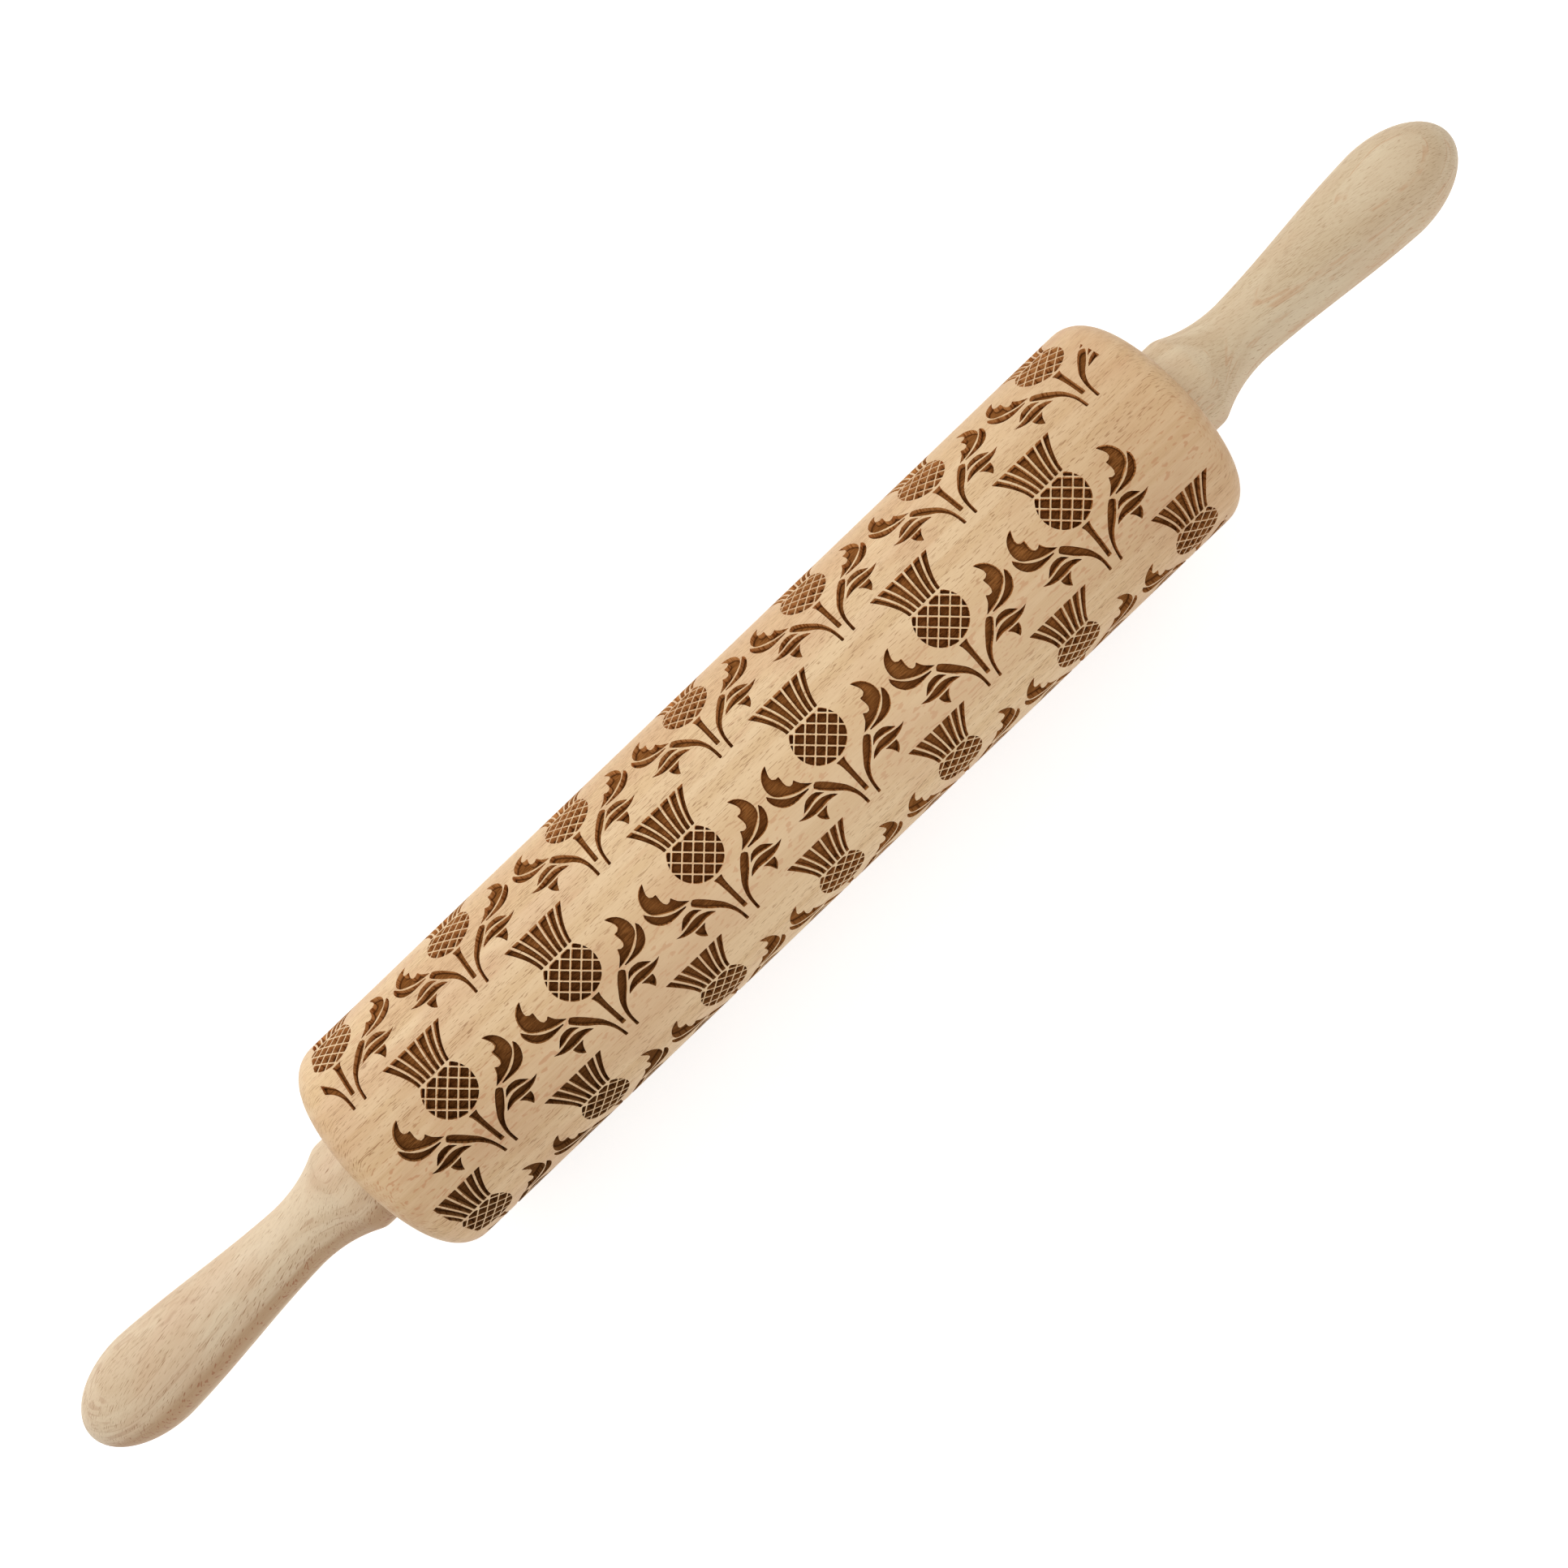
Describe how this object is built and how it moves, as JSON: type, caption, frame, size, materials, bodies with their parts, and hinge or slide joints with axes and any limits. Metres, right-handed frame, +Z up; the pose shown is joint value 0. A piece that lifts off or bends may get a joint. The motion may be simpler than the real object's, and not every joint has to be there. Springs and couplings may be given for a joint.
{
  "type": "rolling pin",
  "caption": "Beech rolling pin with a thistle pattern engraved in its roller, which turns on bushes round a steel axle between turned handles.",
  "frame": {"origin": "under the middle of the roller, at the bottom of the part's box, where the roller rests", "axes": "+X along the pin's axis, +Y across it towards the thistles' crowns on the top row, +Z up"},
  "size_m": [0.4418, 0.06, 0.06],
  "materials": {
    "roller_beech": "fine sanded beech, bare, with laser-browned engraving",
    "handle_beech": "turned and sanded beech, bare",
    "axle_steel": "drawn steel",
    "bush_nylon": "moulded nylon, natural colour",
    "insert_brass": "turned brass"
  },
  "bodies": {
    "spindle": {"axle_rod": "axle_steel", "left_thrust_washer": "axle_steel", "right_thrust_washer": "axle_steel", "left_threaded_insert": "insert_brass", "right_threaded_insert": "insert_brass", "left_handle": "handle_beech", "right_handle": "handle_beech"},
    "roller": {"engraved_roller": "roller_beech", "left_bearing_bush": "bush_nylon", "right_bearing_bush": "bush_nylon"}
  },
  "joints": [
    {"name": "roller_spin", "type": "hinge", "parent": "spindle", "child": "roller", "pos_m": [0, 0, 0.03], "axis": [1, 0, 0], "continuous": true}
  ]
}
